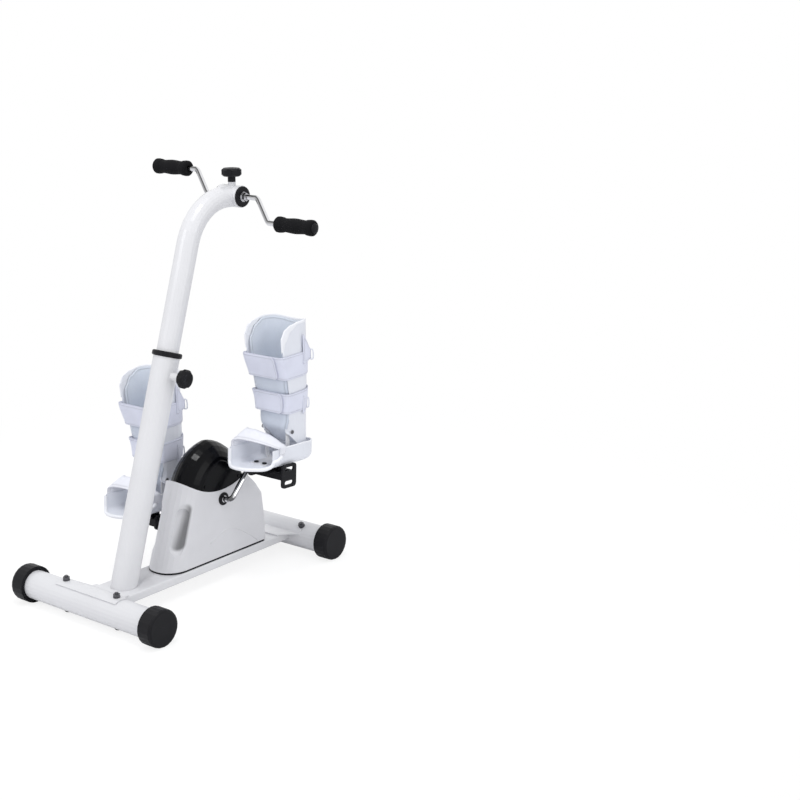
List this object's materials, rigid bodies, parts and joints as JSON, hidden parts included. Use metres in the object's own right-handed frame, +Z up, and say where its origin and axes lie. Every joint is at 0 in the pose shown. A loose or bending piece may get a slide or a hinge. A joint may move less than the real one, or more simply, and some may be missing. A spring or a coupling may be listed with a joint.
{
  "type": "pedal exerciser",
  "caption": "Upright pedal exerciser with a hand crank on a gooseneck mast and a pedal crank that carries foot shells with hinged calf supports.",
  "frame": {"origin": "on the floor, midway between the front and the rear foot tube and on the machine's middle plane", "axes": "+Z up, -Y to the front end with the column, +X to the rider's left (the rider sits at +Y and faces -Y)"},
  "size_m": [0.5196, 0.704, 0.9596],
  "materials": {
    "white_paint": "gloss white powder coat",
    "white_plastic": "fine satin",
    "black_plastic": "moulded satin",
    "gloss_black": "polished",
    "chrome": "bright plated",
    "dark_steel": "dark plated",
    "iron": "as cast",
    "rubber": "matte",
    "foam_grip": "matte foam",
    "boot_plastic": "satin",
    "lining": "brushed foam lining",
    "strap": "soft woven"
  },
  "bodies": {
    "base": {"front_tube": "white_paint", "rear_tube": "white_paint", "front_cap_left": "black_plastic", "front_cap_right": "black_plastic", "rear_cap_left": "black_plastic", "rear_cap_right": "black_plastic", "base_beam": "white_paint", "front_saddle": "white_paint", "rear_saddle": "white_paint", "front_bolt_left": "dark_steel", "front_bolt_right": "dark_steel", "rear_bolt_left": "dark_steel", "rear_bolt_right": "dark_steel", "column_tube": "white_paint", "column_collar": "black_plastic", "housing_left": "white_plastic", "housing_right": "white_plastic", "housing_tray": "black_plastic", "flywheel_guard": "gloss_black", "drive_bracket": "dark_steel", "crank_bush_left": "black_plastic", "crank_bush_right": "black_plastic", "flywheel_axle": "chrome", "drive_belt": "rubber"},
    "mast": {"mast_tube": "white_paint", "hub_cap_left": "black_plastic", "hub_cap_right": "black_plastic", "brake_shoe": "foam_grip"},
    "clamp_screw": {"clamp_knob": "black_plastic"},
    "tension_screw": {"tension_knob": "black_plastic"},
    "hand_crank": {"arm_axle": "chrome", "left_hand_arm": "chrome", "right_hand_arm": "chrome"},
    "left_grip_sleeve": {"left_grip": "foam_grip"},
    "right_grip_sleeve": {"right_grip": "foam_grip"},
    "pedal_crank": {"crank_axle": "chrome", "drive_pulley": "black_plastic", "left_crank_arm": "chrome", "right_crank_arm": "chrome"},
    "flywheel_wheel": {"flywheel": "iron"},
    "left_footrest": {"left_pedal": "black_plastic", "left_foot_shell": "boot_plastic", "left_instep_strap": "strap", "left_ankle_stirrup": "white_paint"},
    "left_calf_support": {"left_calf_shell": "boot_plastic", "left_calf_liner": "lining", "left_shin_pad": "lining", "left_upper_strap": "strap", "left_lower_strap": "strap"},
    "right_footrest": {"right_pedal": "black_plastic", "right_foot_shell": "boot_plastic", "right_instep_strap": "strap", "right_ankle_stirrup": "white_paint"},
    "right_calf_support": {"right_calf_shell": "boot_plastic", "right_calf_liner": "lining", "right_shin_pad": "lining", "right_upper_strap": "strap", "right_lower_strap": "strap"}
  },
  "joints": [
    {"name": "mast_slide", "type": "slide", "parent": "base", "child": "mast", "axis": [0, 0.3037, 0.9528], "range_m": [-0.12, 0.08]},
    {"name": "clamp_knob_turn", "type": "hinge", "parent": "base", "child": "clamp_screw", "pos_m": [0, -0.06982, 0.51323], "axis": [1, 0, 0], "range_deg": [0, 360]},
    {"name": "tension_knob_turn", "type": "hinge", "parent": "mast", "child": "tension_screw", "pos_m": [0, 0.16745, 0.8905], "axis": [0, 0, 1], "range_deg": [0, 360]},
    {"name": "arm_crank_spin", "type": "hinge", "parent": "mast", "child": "hand_crank", "pos_m": [0, 0.16745, 0.8905], "axis": [1, 0, 0], "continuous": true},
    {"name": "left_grip_spin", "type": "hinge", "parent": "hand_crank", "child": "left_grip_sleeve", "pos_m": [0, 0.15618, 0.8384], "axis": [1, 0, 0], "continuous": true},
    {"name": "right_grip_spin", "type": "hinge", "parent": "hand_crank", "child": "right_grip_sleeve", "pos_m": [0, 0.17871, 0.9426], "axis": [1, 0, 0], "continuous": true},
    {"name": "crank_spin", "type": "hinge", "parent": "base", "child": "pedal_crank", "pos_m": [0, 0.0565, 0.198], "axis": [1, 0, 0], "continuous": true},
    {"name": "flywheel_spin", "type": "hinge", "parent": "base", "child": "flywheel_wheel", "pos_m": [0, -0.0195, 0.122], "axis": [1, 0, 0], "continuous": true},
    {"name": "left_pedal_spin", "type": "hinge", "parent": "pedal_crank", "child": "left_footrest", "pos_m": [0.14, 0.12356, 0.266], "axis": [1, 0, 0], "continuous": true},
    {"name": "left_ankle", "type": "hinge", "parent": "left_footrest", "child": "left_calf_support", "pos_m": [0.14, 0.1511, 0.36169], "axis": [1, 0, 0], "range_deg": [-10, 15]},
    {"name": "right_pedal_spin", "type": "hinge", "parent": "pedal_crank", "child": "right_footrest", "pos_m": [-0.14, -0.01056, 0.13], "axis": [1, 0, 0], "continuous": true},
    {"name": "right_ankle", "type": "hinge", "parent": "right_footrest", "child": "right_calf_support", "pos_m": [-0.14, 0.01699, 0.22569], "axis": [1, 0, 0], "range_deg": [-10, 15]}
  ],
  "couplings": [
    {"joint": "flywheel_spin", "follows": "crank_spin", "ratio": 2.7248},
    {"joint": "left_pedal_spin", "follows": "crank_spin", "ratio": -1},
    {"joint": "right_pedal_spin", "follows": "crank_spin", "ratio": -1}
  ]
}
